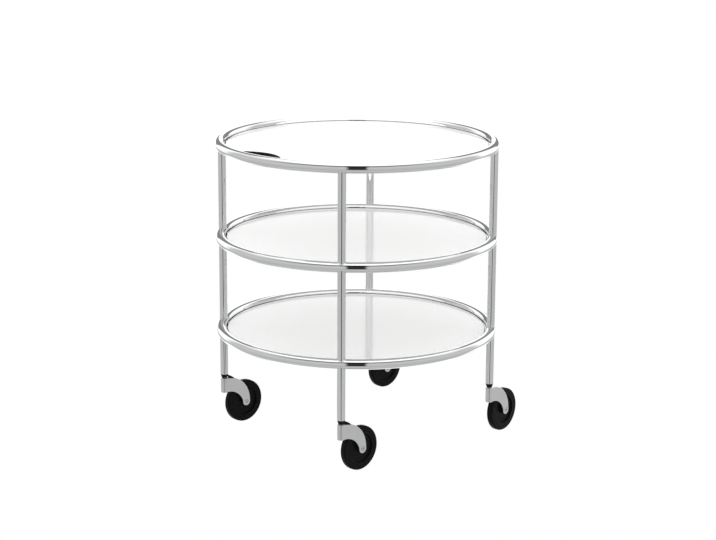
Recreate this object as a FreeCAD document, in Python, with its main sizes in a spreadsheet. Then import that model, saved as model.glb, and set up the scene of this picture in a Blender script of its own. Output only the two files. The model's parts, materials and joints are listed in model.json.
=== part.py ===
import FreeCAD, Part
import os

# Round three-tier serving trolley. Millimetres, +Z up. The origin is on the floor, on the axis of the
# rings. The front leg stands towards -Y and the right leg towards +X.

doc = FreeCAD.newDocument("room_service_table")
sheet = doc.addObject("Spreadsheet::Sheet", "Sizes")

SIZES = [
    # Frame
    ("ring_radius", 241.0),
    ("ring_tube", 18.0),
    ("ring_wall", 1.5),
    ("leg_tube", 14.0),
    ("leg_wall", 1.5),
    ("low_ring_height", 198.0),
    ("tier_pitch", 167.0),
    # Trays
    ("tray_thickness", 6.0),
    ("tray_gap", 0.6),
    ("tray_bevel", 0.9),
    ("notch_arc", 68.0),
    ("notch_depth", 45.0),
    ("notch_corner", 25.0),
    ("notch_bearing", 225.0),
    # Lugs under the trays, and their screws
    ("lug_length", 30.0),
    ("lug_setback", 4.5),
    ("lug_width", 22.0),
    ("lug_sheet", 3.0),
    ("screw_inset", 24.0),
    ("screw_diameter", 4.0),
    ("screw_head", 8.0),
    ("screw_head_height", 2.0),
    ("screw_bite", 4.5),
    # Castor: plug and stem at the end of the leg
    ("plug_height", 7.2),
    ("plug_neck", 9.5),
    ("plug_insert", 18.0),
    ("fixed_play", 0.05),
    ("stem_diameter", 6.0),
    ("stem_grip", 14.0),
    ("stem_head", 9.0),
    ("stem_head_height", 1.8),
    ("washer_diameter", 9.0),
    ("washer_thickness", 0.6),
    # Castor: barrel and arm
    ("barrel_diameter", 13.0),
    ("barrel_height", 26.6),
    ("barrel_rise", 25.5),
    ("arm_thickness", 3.5),
    ("arm_inset", 0.3),
    ("arm_outer_arc", 49.5),
    ("arm_inner_arc", 36.0),
    ("arm_top_drop", 0.3),
    ("arm_root_lift", 0.5),
    ("arm_tip", 8.0),
    ("arm_tip_proud", 0.3),
    ("running_play", 0.05),
    ("face_play", 0.3),
    # Castor: wheel and axle
    ("trail", 46.0),
    ("wheel_diameter", 78.0),
    ("wheel_width", 12.0),
    ("wheel_gap", 0.7),
    ("tyre_depth", 9.0),
    ("tyre_shoulder", 3.0),
    ("hub_dish", 3.0),
    ("hub_rim", 4.0),
    ("hub_boss", 15.0),
    ("axle_diameter", 6.0),
    ("axle_head", 11.0),
    ("axle_head_height", 1.8),
    ("axle_screw", 3.4),
    ("axle_screw_head", 6.8),
    ("axle_screw_bite", 8.0),
    # Brake lever
    ("brake_reach", 17.0),
    ("brake_drop", 9.5),
    ("brake_web", 4.6),
    ("brake_boss", 9.0),
    ("brake_strut", 6.4),
    ("brake_tread_gap", 2.2),
    ("brake_pad_angle", 40.0),
    ("brake_pad_length", 9.0),
    ("brake_pad_width", 10.0),
    ("brake_pad_height", 3.0),
    ("brake_pedal_length", 11.0),
    ("brake_pedal_width", 14.0),
    ("brake_pedal_height", 2.2),
    ("brake_pedal_lift", 1.8),
    ("brake_pin", 3.0),
    ("brake_pin_bite", 2.4),
    ("brake_pin_head", 6.0),
    ("brake_pin_head_height", 1.2),
    # Resting swivel bearings of the castors, counted from +X towards +Y
    ("bearing_front", 50.0),
    ("bearing_right", 57.0),
    ("bearing_back", 49.0),
    ("bearing_left", 47.0),
]

for row, (alias, size) in enumerate(SIZES, start=1):
    sheet.set("A%d" % row, alias)
    sheet.set("B%d" % row, "%g" % size)
    sheet.setAlias("B%d" % row, alias)
doc.recompute()

LEGS = {"front": 270.0, "right": 0.0, "back": 90.0, "left": 180.0}
TIERS = ("bottom", "middle", "top")
BRAKED = ("front", "left")
SAME_PLACE = 1e-4
LYING = FreeCAD.Placement(FreeCAD.Vector(), FreeCAD.Rotation(FreeCAD.Vector(1, 0, 0), -90))

nodes = []


def bind(obj, **expressions):
    """Bind properties of an object to the sheet; a double underscore stands for a dot."""
    for name, expression in expressions.items():
        obj.setExpression(name.replace("__", "."), expression)
    return obj


def solid(kind, name, **expressions):
    """A primitive of the Part workbench whose sizes and place come from the sheet."""
    return bind(doc.addObject("Part::" + kind, name), **expressions)


def lying_cylinder(name, **expressions):
    """A cylinder whose axis runs along +Y from its own base point."""
    cylinder = doc.addObject("Part::Cylinder", name)
    cylinder.Placement = LYING
    return bind(cylinder, **expressions)


def cut(name, base, tool):
    result = doc.addObject("Part::Cut", name)
    result.Base = base
    result.Tool = tool
    return result


def fuse(name, shapes):
    result = doc.addObject("Part::MultiFuse", name)
    result.Shapes = shapes
    return result


def common(name, base, tool):
    result = doc.addObject("Part::Common", name)
    result.Base = base
    result.Tool = tool
    return result


def soften(kind, name, base, size, wanted):
    """A fillet or chamfer of one size on every edge of the base that is wanted."""
    doc.recompute()
    edges = [number for number, edge in enumerate(base.Shape.Edges, start=1) if wanted(edge)]
    if not edges:
        raise RuntimeError("no edge to soften on " + name)
    result = doc.addObject("Part::" + kind, name)
    result.Base = base
    result.Edges = [(number, size, size) for number in edges]
    return result


def node(obj, label):
    """Keep an object as one named sub-part."""
    obj.Label = label
    nodes.append(obj)
    return obj


def value(alias):
    return float(sheet.get(alias))


def is_straight(edge):
    return isinstance(edge.Curve, (Part.Line, Part.LineSegment))


def turned(obj, bearing):
    """Turn an object about the vertical by a bearing from the sheet, in degrees."""
    obj.Placement = FreeCAD.Placement(obj.Placement.Base, FreeCAD.Rotation(FreeCAD.Vector(0, 0, 1), 1))
    return bind(obj, Placement__Rotation__Angle=bearing)


def tier_height(tier):
    """The expression for the height of a tier's ring centre."""
    return "Sizes.low_ring_height + %d * Sizes.tier_pitch" % TIERS.index(tier)


def at_leg(obj, leg, radius="Sizes.ring_radius", height="0"):
    """Stand an object on a leg's bearing at a radius and height from the sheet."""
    return bind(obj, Placement__Base__x="(%s) * cos(%g deg)" % (radius, LEGS[leg]),
                Placement__Base__y="(%s) * sin(%g deg)" % (radius, LEGS[leg]),
                Placement__Base__z=height)


# Rings: closed tube hoops, one for each tier. Their full sections also cope the legs and the lugs.
ring_section = {}
for tier in TIERS:
    section = solid("Torus", "ring_section_" + tier, Radius1="Sizes.ring_radius",
                    Radius2="Sizes.ring_tube / 2", Placement__Base__z=tier_height(tier))
    cavity = solid("Torus", "ring_cavity_" + tier, Radius1="Sizes.ring_radius",
                   Radius2="Sizes.ring_tube / 2 - Sizes.ring_wall", Placement__Base__z=tier_height(tier))
    ring_section[tier] = section
    node(cut("ring_cut_" + tier, section, cavity), "ring_" + tier)


# Legs: straight tubes on the rings' centre circle, in three lengths between the rings and the castor plugs.
FOOT_END = ("Sizes.wheel_diameter / 2 + Sizes.barrel_rise + Sizes.barrel_height + Sizes.face_play"
            " + Sizes.washer_thickness + Sizes.plug_height")
SPANS = {"upper": ("middle", "top"), "middle": ("bottom", "middle"), "foot": (None, "bottom")}

for span, (below, above) in SPANS.items():
    start = tier_height(below) if below else FOOT_END
    length = "%s - (%s)" % (tier_height(above), start)
    for leg in LEGS:
        name = "leg_%s_%s" % (span, leg)
        tube = at_leg(solid("Cylinder", name + "_tube", Radius="Sizes.leg_tube / 2", Height=length), leg,
                      height=start)
        bore = at_leg(solid("Cylinder", name + "_bore", Radius="Sizes.leg_tube / 2 - Sizes.leg_wall",
                            Height=length), leg, height=start)
        hollow = cut(name + "_hollow", tube, bore)
        coped = cut(name + "_coped_above", hollow, ring_section[above])
        if below:
            coped = cut(name + "_coped_below", coped, ring_section[below])
        node(coped, name)


# Trays: boards inside the rings, their tops level with the rings' centres. The top one has a crescent hand
# hole between the front and left legs, so that a hand can close round the ring.
TRAY_RADIUS = "Sizes.ring_radius - Sizes.ring_tube / 2 - Sizes.tray_gap"
NOTCH_CENTRE = "%s - Sizes.notch_depth + Sizes.notch_arc" % TRAY_RADIUS
SCREW_CIRCLE = "Sizes.ring_radius - Sizes.screw_inset"

for tier in TIERS:
    underside = "%s - Sizes.tray_thickness" % tier_height(tier)
    board = solid("Cylinder", "tray_board_" + tier, Radius=TRAY_RADIUS, Height="Sizes.tray_thickness",
                  Placement__Base__z=underside)
    if tier == "top":
        bite = solid("Cylinder", "tray_bite", Radius="Sizes.notch_arc", Height="3 * Sizes.tray_thickness")
        turned(bite, "Sizes.notch_bearing")
        bind(bite, Placement__Base__x="(%s) * cos(Sizes.notch_bearing * 1 deg)" % NOTCH_CENTRE,
             Placement__Base__y="(%s) * sin(Sizes.notch_bearing * 1 deg)" % NOTCH_CENTRE,
             Placement__Base__z="%s - Sizes.tray_thickness" % underside)
        bitten = cut("tray_open_board", board, bite)
        board = soften("Fillet", "tray_corners", bitten, value("notch_corner"),
                       lambda edge: is_straight(edge) and edge.Vertexes[0].Y < -SAME_PLACE)
    pilots = []
    for leg in LEGS:
        pilot = solid("Cylinder", "tray_pilot_%s_%s" % (tier, leg), Height="Sizes.screw_bite",
                      Radius="Sizes.screw_diameter / 2 + Sizes.fixed_play")
        pilots.append(at_leg(pilot, leg, radius=SCREW_CIRCLE, height=underside))
    drilled = cut("tray_drilled_" + tier, board, fuse("tray_pilots_" + tier, pilots))
    top = value("low_ring_height") + TIERS.index(tier) * value("tier_pitch")
    bevelled = soften("Chamfer", "tray_bevel_" + tier, drilled, value("tray_bevel"),
                      lambda edge: all(abs(point.Z - top) < SAME_PLACE for point in edge.Vertexes))
    node(bevelled, "tray_" + tier)


# Lugs: flat plates welded into the corner of ring and leg, four under each tray, and a screw up through each
# into the board.
for tier in TIERS:
    plates = []
    screws = []
    seat = "%s - Sizes.tray_thickness" % tier_height(tier)
    for leg in LEGS:
        name = "%s_%s" % (tier, leg)
        plate = doc.addObject("Part::Box", "lug_plate_" + name)
        plate.Placement = FreeCAD.Placement(FreeCAD.Vector(), FreeCAD.Rotation(LEGS[leg], 0, 0))
        half_width = "Sizes.lug_width / 2"
        inner_end = "(Sizes.ring_radius - Sizes.lug_setback - Sizes.lug_length)"
        bind(plate, Length="Sizes.lug_length", Width="Sizes.lug_width", Height="Sizes.lug_sheet",
             Placement__Base__x="%s * cos(%g deg) + %s * sin(%g deg)" % (inner_end, LEGS[leg], half_width,
                                                                       LEGS[leg]),
             Placement__Base__y="%s * sin(%g deg) - %s * cos(%g deg)" % (inner_end, LEGS[leg], half_width,
                                                                       LEGS[leg]),
             Placement__Base__z="%s - Sizes.lug_sheet" % seat)
        post = at_leg(solid("Cylinder", "lug_post_" + name, Radius="Sizes.leg_tube / 2",
                            Height="4 * Sizes.lug_sheet"), leg, height="%s - 3 * Sizes.lug_sheet" % seat)
        hole = at_leg(solid("Cylinder", "lug_hole_" + name, Height="3 * Sizes.lug_sheet",
                            Radius="Sizes.screw_diameter / 2 + Sizes.fixed_play"), leg,
                      radius=SCREW_CIRCLE, height="%s - 2 * Sizes.lug_sheet" % seat)
        coped = cut("lug_coped_" + name, cut("lug_cut_" + name, plate, ring_section[tier]),
                    fuse("lug_tools_" + name, [post, hole]))
        plates.append(coped)
        shank = at_leg(solid("Cylinder", "screw_shank_" + name, Radius="Sizes.screw_diameter / 2",
                             Height="Sizes.lug_sheet + Sizes.screw_bite"), leg, radius=SCREW_CIRCLE,
                       height="%s - Sizes.lug_sheet" % seat)
        head = at_leg(solid("Cylinder", "screw_head_" + name, Radius="Sizes.screw_head / 2",
                            Height="Sizes.screw_head_height"), leg, radius=SCREW_CIRCLE,
                      height="%s - Sizes.lug_sheet - Sizes.screw_head_height" % seat)
        screws.append(fuse("screw_" + name, [shank, head]))
    lugs = doc.addObject("Part::Compound", "lug_group_" + tier)
    lugs.Links = plates
    node(lugs, "lugs_" + tier)
    fasteners = doc.addObject("Part::Compound", "screw_group_" + tier)
    fasteners.Links = screws
    node(fasteners, "tray_screws_" + tier)


# Castors. Each is built in its own frame: the swivel axis is Z, the wheel trails towards +X, the arm stands
# on the -Y side and the floor is at height 0. It is then stood under its leg and turned to its resting
# bearing.
AXLE_HEIGHT = "Sizes.wheel_diameter / 2"
BARREL_FOOT = AXLE_HEIGHT + " + Sizes.barrel_rise"
BARREL_TOP = BARREL_FOOT + " + Sizes.barrel_height"
WASHER_FOOT = BARREL_TOP + " + Sizes.face_play"
PLUG_FOOT = WASHER_FOOT + " + Sizes.washer_thickness"
ARM_FACE = "(Sizes.arm_inset - Sizes.barrel_diameter / 2)"
ARM_BACK = "(%s + Sizes.arm_thickness)" % ARM_FACE
WHEEL_FACE = "(%s + Sizes.wheel_gap)" % ARM_BACK
ARM_CENTRE = "(Sizes.trail + Sizes.arm_tip - Sizes.arm_tip_proud - Sizes.arm_outer_arc)"
PIN_HEIGHT = "(%s - Sizes.brake_drop)" % BARREL_TOP


def stand_castor_piece(obj, leg, label):
    """Put a finished castor piece under its leg at the castor's resting bearing."""
    return node(at_leg(turned(obj, "Sizes.bearing_" + leg), leg), label)


def make_plug(leg):
    """The tapered black end piece: a neck under the tube's end and a shank inside the tube."""
    name = "plug_%s_" % leg
    neck = solid("Cone", name + "neck", Radius1="Sizes.plug_neck / 2", Radius2="Sizes.leg_tube / 2",
                 Height="Sizes.plug_height", Placement__Base__z=PLUG_FOOT)
    shank = solid("Cylinder", name + "shank", Height="Sizes.plug_insert",
                  Radius="Sizes.leg_tube / 2 - Sizes.leg_wall - Sizes.fixed_play",
                  Placement__Base__z=PLUG_FOOT + " + Sizes.plug_height")
    bore = solid("Cylinder", name + "bore", Radius="Sizes.stem_diameter / 2 + Sizes.fixed_play",
                 Height="Sizes.plug_height + Sizes.stem_grip", Placement__Base__z=PLUG_FOOT)
    return cut(name + "bored", fuse(name + "body", [neck, shank]), bore)


def make_washer(leg):
    name = "washer_%s_" % leg
    disc = solid("Cylinder", name + "disc", Radius="Sizes.washer_diameter / 2",
                 Height="Sizes.washer_thickness", Placement__Base__z=WASHER_FOOT)
    bore = solid("Cylinder", name + "bore", Radius="Sizes.stem_diameter / 2 + Sizes.fixed_play",
                 Height="Sizes.washer_thickness", Placement__Base__z=WASHER_FOOT)
    return cut(name + "ring", disc, bore)


def make_stem(leg):
    """The steel pin in the plug. Its riveted head keeps the barrel on."""
    name = "stem_%s_" % leg
    head = solid("Cylinder", name + "head", Radius="Sizes.stem_head / 2", Height="Sizes.stem_head_height",
                 Placement__Base__z=BARREL_FOOT + " + Sizes.face_play")
    pin = solid("Cylinder", name + "pin", Radius="Sizes.stem_diameter / 2",
                Height="Sizes.barrel_height + Sizes.washer_thickness + Sizes.plug_height + Sizes.stem_grip",
                Placement__Base__z=BARREL_FOOT + " + Sizes.face_play")
    return fuse(name + "riveted", [head, pin])


def make_castor_body(leg):
    """Barrel and arm in one casting: the arm is a crescent plate between two arcs, with a round tip."""
    name = "body_%s_" % leg
    barrel = solid("Cylinder", name + "barrel", Radius="Sizes.barrel_diameter / 2",
                   Height="Sizes.barrel_height", Placement__Base__z=BARREL_FOOT)
    outer = lying_cylinder(name + "outer_arc", Radius="Sizes.arm_outer_arc", Height="Sizes.arm_thickness",
                           Placement__Base__x=ARM_CENTRE, Placement__Base__y=ARM_FACE,
                           Placement__Base__z="%s - Sizes.arm_top_drop - Sizes.arm_outer_arc" % BARREL_TOP)
    inner = lying_cylinder(name + "inner_arc", Radius="Sizes.arm_inner_arc", Height="3 * Sizes.arm_thickness",
                           Placement__Base__x=ARM_CENTRE,
                           Placement__Base__y="%s - Sizes.arm_thickness" % ARM_FACE,
                           Placement__Base__z="%s + Sizes.arm_root_lift - Sizes.arm_inner_arc" % BARREL_FOOT)
    quarter = solid("Box", name + "quarter", Length="2 * Sizes.arm_outer_arc", Width="Sizes.arm_thickness",
                    Height="2 * Sizes.arm_outer_arc", Placement__Base__y=ARM_FACE,
                    Placement__Base__z=AXLE_HEIGHT)
    crescent = common(name + "crescent", cut(name + "sickle", outer, inner), quarter)
    tip = lying_cylinder(name + "tip", Radius="Sizes.arm_tip", Height="Sizes.arm_thickness",
                         Placement__Base__x="Sizes.trail", Placement__Base__y=ARM_FACE,
                         Placement__Base__z=AXLE_HEIGHT)
    stem_hole = solid("Cylinder", name + "stem_hole", Radius="Sizes.stem_diameter / 2 + Sizes.running_play",
                      Height="Sizes.barrel_height", Placement__Base__z=BARREL_FOOT)
    rivet_room = solid("Cylinder", name + "rivet_room", Radius="Sizes.stem_head / 2 + Sizes.face_play",
                       Height="Sizes.stem_head_height + 2 * Sizes.face_play", Placement__Base__z=BARREL_FOOT)
    screw_hole = lying_cylinder(name + "screw_hole", Radius="Sizes.axle_screw / 2 + Sizes.fixed_play",
                                Height="Sizes.arm_thickness", Placement__Base__x="Sizes.trail",
                                Placement__Base__y=ARM_FACE, Placement__Base__z=AXLE_HEIGHT)
    screw_sink = doc.addObject("Part::Cone", name + "screw_sink")
    screw_sink.Placement = LYING
    bind(screw_sink, Radius1="Sizes.axle_screw_head / 2 + Sizes.fixed_play",
         Radius2="Sizes.axle_screw / 2 + Sizes.fixed_play",
         Height="Sizes.axle_screw_head / 2 - Sizes.axle_screw / 2", Placement__Base__x="Sizes.trail",
         Placement__Base__y=ARM_FACE, Placement__Base__z=AXLE_HEIGHT)
    holes = [stem_hole, rivet_room, screw_hole, screw_sink]
    if leg in BRAKED:
        holes.append(lying_cylinder(name + "brake_hole", Radius="Sizes.brake_pin / 2 + Sizes.fixed_play",
                                    Height="Sizes.brake_pin_bite", Placement__Base__x="Sizes.brake_reach",
                                    Placement__Base__y="%s - Sizes.brake_pin_bite" % ARM_BACK,
                                    Placement__Base__z=PIN_HEIGHT))
    casting = fuse(name + "casting", [barrel, crescent, tip])
    return cut(name + "bored", casting, fuse(name + "holes", holes))


def make_axle(leg):
    """The wheel's axle: a pin against the arm's back, with a head beyond the wheel and a tapped end."""
    name = "axle_%s_" % leg
    reach = "Sizes.wheel_gap + Sizes.wheel_width + Sizes.face_play"
    pin = lying_cylinder(name + "pin", Radius="Sizes.axle_diameter / 2", Height=reach,
                         Placement__Base__x="Sizes.trail", Placement__Base__y=ARM_BACK,
                         Placement__Base__z=AXLE_HEIGHT)
    head = lying_cylinder(name + "head", Radius="Sizes.axle_head / 2", Height="Sizes.axle_head_height",
                          Placement__Base__x="Sizes.trail", Placement__Base__y="%s + %s" % (ARM_BACK, reach),
                          Placement__Base__z=AXLE_HEIGHT)
    tapped = lying_cylinder(name + "tapped", Radius="Sizes.axle_screw / 2 + Sizes.fixed_play",
                            Height="Sizes.axle_screw_bite", Placement__Base__x="Sizes.trail",
                            Placement__Base__y=ARM_BACK, Placement__Base__z=AXLE_HEIGHT)
    return cut(name + "tapped_pin", fuse(name + "headed", [pin, head]), tapped)


def make_axle_screw(leg):
    """The countersunk screw that shows as a round end in the arm's tip."""
    name = "axle_screw_%s_" % leg
    shank = lying_cylinder(name + "shank", Radius="Sizes.axle_screw / 2",
                           Height="Sizes.arm_thickness + Sizes.axle_screw_bite",
                           Placement__Base__x="Sizes.trail", Placement__Base__y=ARM_FACE,
                           Placement__Base__z=AXLE_HEIGHT)
    head = doc.addObject("Part::Cone", name + "head")
    head.Placement = LYING
    bind(head, Radius1="Sizes.axle_screw_head / 2", Radius2="Sizes.axle_screw / 2",
         Height="Sizes.axle_screw_head / 2 - Sizes.axle_screw / 2", Placement__Base__x="Sizes.trail",
         Placement__Base__y=ARM_FACE, Placement__Base__z=AXLE_HEIGHT)
    return fuse(name + "whole", [shank, head])


def make_tyre(leg):
    """The tread ring, with round shoulders."""
    name = "tyre_%s_" % leg
    outside = lying_cylinder(name + "outside", Radius="Sizes.wheel_diameter / 2", Height="Sizes.wheel_width",
                             Placement__Base__x="Sizes.trail", Placement__Base__y=WHEEL_FACE,
                             Placement__Base__z=AXLE_HEIGHT)
    inside = lying_cylinder(name + "inside", Radius="Sizes.wheel_diameter / 2 - Sizes.tyre_depth",
                            Height="Sizes.wheel_width", Placement__Base__x="Sizes.trail",
                            Placement__Base__y=WHEEL_FACE, Placement__Base__z=AXLE_HEIGHT)
    tread = value("wheel_diameter") / 2
    return soften("Fillet", name + "shouldered", cut(name + "ring", outside, inside), value("tyre_shoulder"),
                  lambda edge: abs(getattr(edge.Curve, "Radius", 0) - tread) < SAME_PLACE)


def make_hub(leg):
    """The wheel's core: a web between two dished faces, with a boss on the axle and a rim under the tyre."""
    name = "hub_%s_" % leg
    drum = lying_cylinder(name + "drum", Radius="Sizes.wheel_diameter / 2 - Sizes.tyre_depth",
                          Height="Sizes.wheel_width", Placement__Base__x="Sizes.trail",
                          Placement__Base__y=WHEEL_FACE, Placement__Base__z=AXLE_HEIGHT)
    boss = lying_cylinder(name + "boss", Radius="Sizes.hub_boss / 2",
                          Height="Sizes.wheel_width + Sizes.wheel_gap - Sizes.face_play",
                          Placement__Base__x="Sizes.trail",
                          Placement__Base__y=ARM_BACK + " + Sizes.face_play", Placement__Base__z=AXLE_HEIGHT)
    dishes = []
    for side, start in (("near", WHEEL_FACE), ("far", WHEEL_FACE + " + Sizes.wheel_width - Sizes.hub_dish")):
        room = lying_cylinder(name + side + "_room", Height="Sizes.hub_dish",
                              Radius="Sizes.wheel_diameter / 2 - Sizes.tyre_depth - Sizes.hub_rim",
                              Placement__Base__x="Sizes.trail", Placement__Base__y=start,
                              Placement__Base__z=AXLE_HEIGHT)
        post = lying_cylinder(name + side + "_post", Radius="Sizes.hub_boss / 2", Height="Sizes.hub_dish",
                              Placement__Base__x="Sizes.trail", Placement__Base__y=start,
                              Placement__Base__z=AXLE_HEIGHT)
        dishes.append(cut(name + side + "_dish", room, post))
    bore = lying_cylinder(name + "bore", Radius="Sizes.axle_diameter / 2 + Sizes.running_play",
                          Height="Sizes.wheel_width + Sizes.wheel_gap", Placement__Base__x="Sizes.trail",
                          Placement__Base__y=ARM_BACK, Placement__Base__z=AXLE_HEIGHT)
    dished = cut(name + "dished", drum, fuse(name + "dishes", dishes))
    return cut(name + "bored", fuse(name + "core", [dished, boss]), bore)


# Brakes, on the front and left castors: a rocking lever behind the arm. Its pedal stands over the top of the
# arm and its pad hangs over the tread; pressing the pedal swings the pad on to the tread.
LEVER_FACE = ARM_BACK + " + Sizes.face_play"
PEDAL_FOOT = "(%s + Sizes.brake_pedal_lift)" % BARREL_TOP
PAD_RADIUS = "(%s + Sizes.brake_tread_gap)" % AXLE_HEIGHT


def make_brake_lever(leg):
    name = "lever_%s_" % leg
    boss = lying_cylinder(name + "boss", Radius="Sizes.brake_boss / 2", Height="Sizes.brake_web",
                          Placement__Base__x="Sizes.brake_reach", Placement__Base__y=LEVER_FACE,
                          Placement__Base__z=PIN_HEIGHT)
    strut_foot = "(%s + %s * cos(Sizes.brake_pad_angle * 1 deg) + Sizes.brake_pad_height / 2)" % (
        AXLE_HEIGHT, PAD_RADIUS)
    strut = solid("Box", name + "strut", Length="Sizes.brake_strut", Width="Sizes.brake_web",
                  Height="%s - %s" % (PEDAL_FOOT, strut_foot),
                  Placement__Base__x="Sizes.brake_reach - Sizes.brake_strut / 2",
                  Placement__Base__y=LEVER_FACE, Placement__Base__z=strut_foot)
    pedal = solid("Box", name + "pedal", Length="Sizes.brake_pedal_length", Width="Sizes.brake_pedal_width",
                  Height="Sizes.brake_pedal_height",
                  Placement__Base__x="Sizes.brake_reach + Sizes.brake_strut / 2 - Sizes.brake_pedal_length",
                  Placement__Base__y=ARM_FACE, Placement__Base__z=PEDAL_FOOT)
    pad = doc.addObject("Part::Box", name + "pad")
    pad.Placement = FreeCAD.Placement(FreeCAD.Vector(), FreeCAD.Rotation(FreeCAD.Vector(0, -1, 0), 1))
    bind(pad, Length="Sizes.brake_pad_length", Width="Sizes.brake_pad_width", Height="Sizes.brake_pad_height",
         Placement__Rotation__Angle="Sizes.brake_pad_angle",
         Placement__Base__x="Sizes.trail - %s * sin(Sizes.brake_pad_angle * 1 deg)"
                            " - Sizes.brake_pad_length / 2 * cos(Sizes.brake_pad_angle * 1 deg)" % PAD_RADIUS,
         Placement__Base__y=LEVER_FACE,
         Placement__Base__z="%s + %s * cos(Sizes.brake_pad_angle * 1 deg)"
                            " - Sizes.brake_pad_length / 2 * sin(Sizes.brake_pad_angle * 1 deg)"
                            % (AXLE_HEIGHT, PAD_RADIUS))
    bore = lying_cylinder(name + "bore", Radius="Sizes.brake_pin / 2 + Sizes.running_play",
                          Height="Sizes.brake_web", Placement__Base__x="Sizes.brake_reach",
                          Placement__Base__y=LEVER_FACE, Placement__Base__z=PIN_HEIGHT)
    return cut(name + "bored", fuse(name + "body", [boss, strut, pedal, pad]), bore)


def make_brake_pin(leg):
    """The lever's pivot, pressed into the arm, with a head beyond the lever."""
    name = "brake_pin_%s_" % leg
    shank_length = "Sizes.brake_pin_bite + Sizes.face_play + Sizes.brake_web + Sizes.face_play"
    shank_start = "%s - Sizes.brake_pin_bite" % ARM_BACK
    shank = lying_cylinder(name + "shank", Radius="Sizes.brake_pin / 2", Height=shank_length,
                           Placement__Base__x="Sizes.brake_reach", Placement__Base__y=shank_start,
                           Placement__Base__z=PIN_HEIGHT)
    head = lying_cylinder(name + "head", Radius="Sizes.brake_pin_head / 2",
                          Height="Sizes.brake_pin_head_height", Placement__Base__x="Sizes.brake_reach",
                          Placement__Base__y="%s + %s" % (shank_start, shank_length),
                          Placement__Base__z=PIN_HEIGHT)
    return fuse(name + "whole", [shank, head])


for leg in LEGS:
    if leg in BRAKED:
        stand_castor_piece(make_brake_lever(leg), leg, "castor_%s_brake_lever" % leg)
        stand_castor_piece(make_brake_pin(leg), leg, "castor_%s_brake_pin" % leg)
    stand_castor_piece(make_plug(leg), leg, "castor_%s_plug" % leg)
    stand_castor_piece(make_washer(leg), leg, "castor_%s_washer" % leg)
    stand_castor_piece(make_stem(leg), leg, "castor_%s_stem" % leg)
    stand_castor_piece(make_castor_body(leg), leg, "castor_%s_body" % leg)
    stand_castor_piece(make_axle(leg), leg, "castor_%s_axle" % leg)
    stand_castor_piece(make_axle_screw(leg), leg, "castor_%s_axle_screw" % leg)
    stand_castor_piece(make_tyre(leg), leg, "castor_%s_tyre" % leg)
    stand_castor_piece(make_hub(leg), leg, "castor_%s_hub" % leg)


# Write each sub-part once the whole document is sound.
doc.recompute()
for obj in doc.Objects:
    if "Invalid" in obj.State or "Error" in obj.State:
        raise RuntimeError("failed object: " + obj.Name)
for obj in nodes:
    if obj.Shape.isNull() or not obj.Shape.isValid():
        raise RuntimeError("bad shape: " + obj.Label)

os.makedirs("parts", exist_ok=True)
for obj in nodes:
    obj.Shape.exportStep("parts/%s.step" % obj.Label)
    print("%-28s solids %d volume %.1f" % (obj.Label, len(obj.Shape.Solids), obj.Shape.Volume))
print("nodes", len(nodes))
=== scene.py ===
import json
import math
import bmesh
import bpy
from mathutils import Matrix, Vector


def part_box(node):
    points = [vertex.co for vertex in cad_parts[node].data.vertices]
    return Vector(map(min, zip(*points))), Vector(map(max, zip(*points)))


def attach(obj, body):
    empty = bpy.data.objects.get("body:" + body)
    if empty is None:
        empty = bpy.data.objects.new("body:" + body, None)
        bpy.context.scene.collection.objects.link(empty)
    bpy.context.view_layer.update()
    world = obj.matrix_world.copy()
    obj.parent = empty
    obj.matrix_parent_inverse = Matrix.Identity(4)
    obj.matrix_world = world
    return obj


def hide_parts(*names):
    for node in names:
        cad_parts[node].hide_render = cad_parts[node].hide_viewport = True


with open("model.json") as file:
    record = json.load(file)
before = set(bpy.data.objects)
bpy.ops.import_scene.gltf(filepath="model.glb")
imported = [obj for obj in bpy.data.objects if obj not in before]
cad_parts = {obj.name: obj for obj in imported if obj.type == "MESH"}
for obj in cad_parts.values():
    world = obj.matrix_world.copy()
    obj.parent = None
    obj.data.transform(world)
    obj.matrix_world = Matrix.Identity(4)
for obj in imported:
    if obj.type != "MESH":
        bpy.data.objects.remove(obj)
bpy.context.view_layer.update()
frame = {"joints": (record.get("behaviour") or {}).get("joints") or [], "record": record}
bpy.ops.object.select_all(action="DESELECT")


# Hoops. Three rings of round steel tube, rolled, butt-welded and ground flush. The bare frame is brazed up,
# polished and chromed as one. Each hoop holds a tray inside it.
TIERS = ("bottom", "middle", "top")
HOOP_TUBE = 0.018
HOOP_STEPS = 256
HOOP_SIDES = 36
MERGE_DISTANCE = 1e-6
SMOOTH_ANGLE = math.radians(32)

mounts = {mount["name"]: Vector(mount["pos_m"]) for mount in frame["record"]["mounts"]}
joints = {joint["name"]: joint for joint in frame["joints"]}
tier_height = {tier: mounts[tier + "_tray"].z for tier in TIERS}
hoop_radius = joints["swivel_right"]["pos_m"][0]


def add_node(tree, kind, sockets=None, **settings):
    """Add a shader node. Each socket gets a value, or the output of another node to follow."""
    added = tree.nodes.new("ShaderNode" + kind)
    for name, value in settings.items():
        setattr(added, name, value)
    for name, value in (sockets or {}).items():
        if isinstance(value, bpy.types.NodeSocket):
            tree.links.new(value, added.inputs[name])
        else:
            added.inputs[name].default_value = value
    return added


def start_group(name, inputs, output):
    """A node group with a vector input, named numbers and one named output."""
    group = bpy.data.node_groups.new(name, "ShaderNodeTree")
    group.interface.new_socket("Vector", in_out="INPUT", socket_type="NodeSocketVector")
    for label, usual in inputs.items():
        number = group.interface.new_socket(label, in_out="INPUT", socket_type="NodeSocketFloat")
        number.default_value = usual
    group.interface.new_socket(output, in_out="OUTPUT", socket_type="NodeSocketFloat")
    return group, group.nodes.new("NodeGroupInput").outputs


def end_group(group, output, result):
    group.links.new(result, group.nodes.new("NodeGroupOutput").inputs[output])


def math_node(tree, operation, first, second):
    return add_node(tree, "Math", {0: first, 1: second}, operation=operation).outputs[0]


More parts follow.
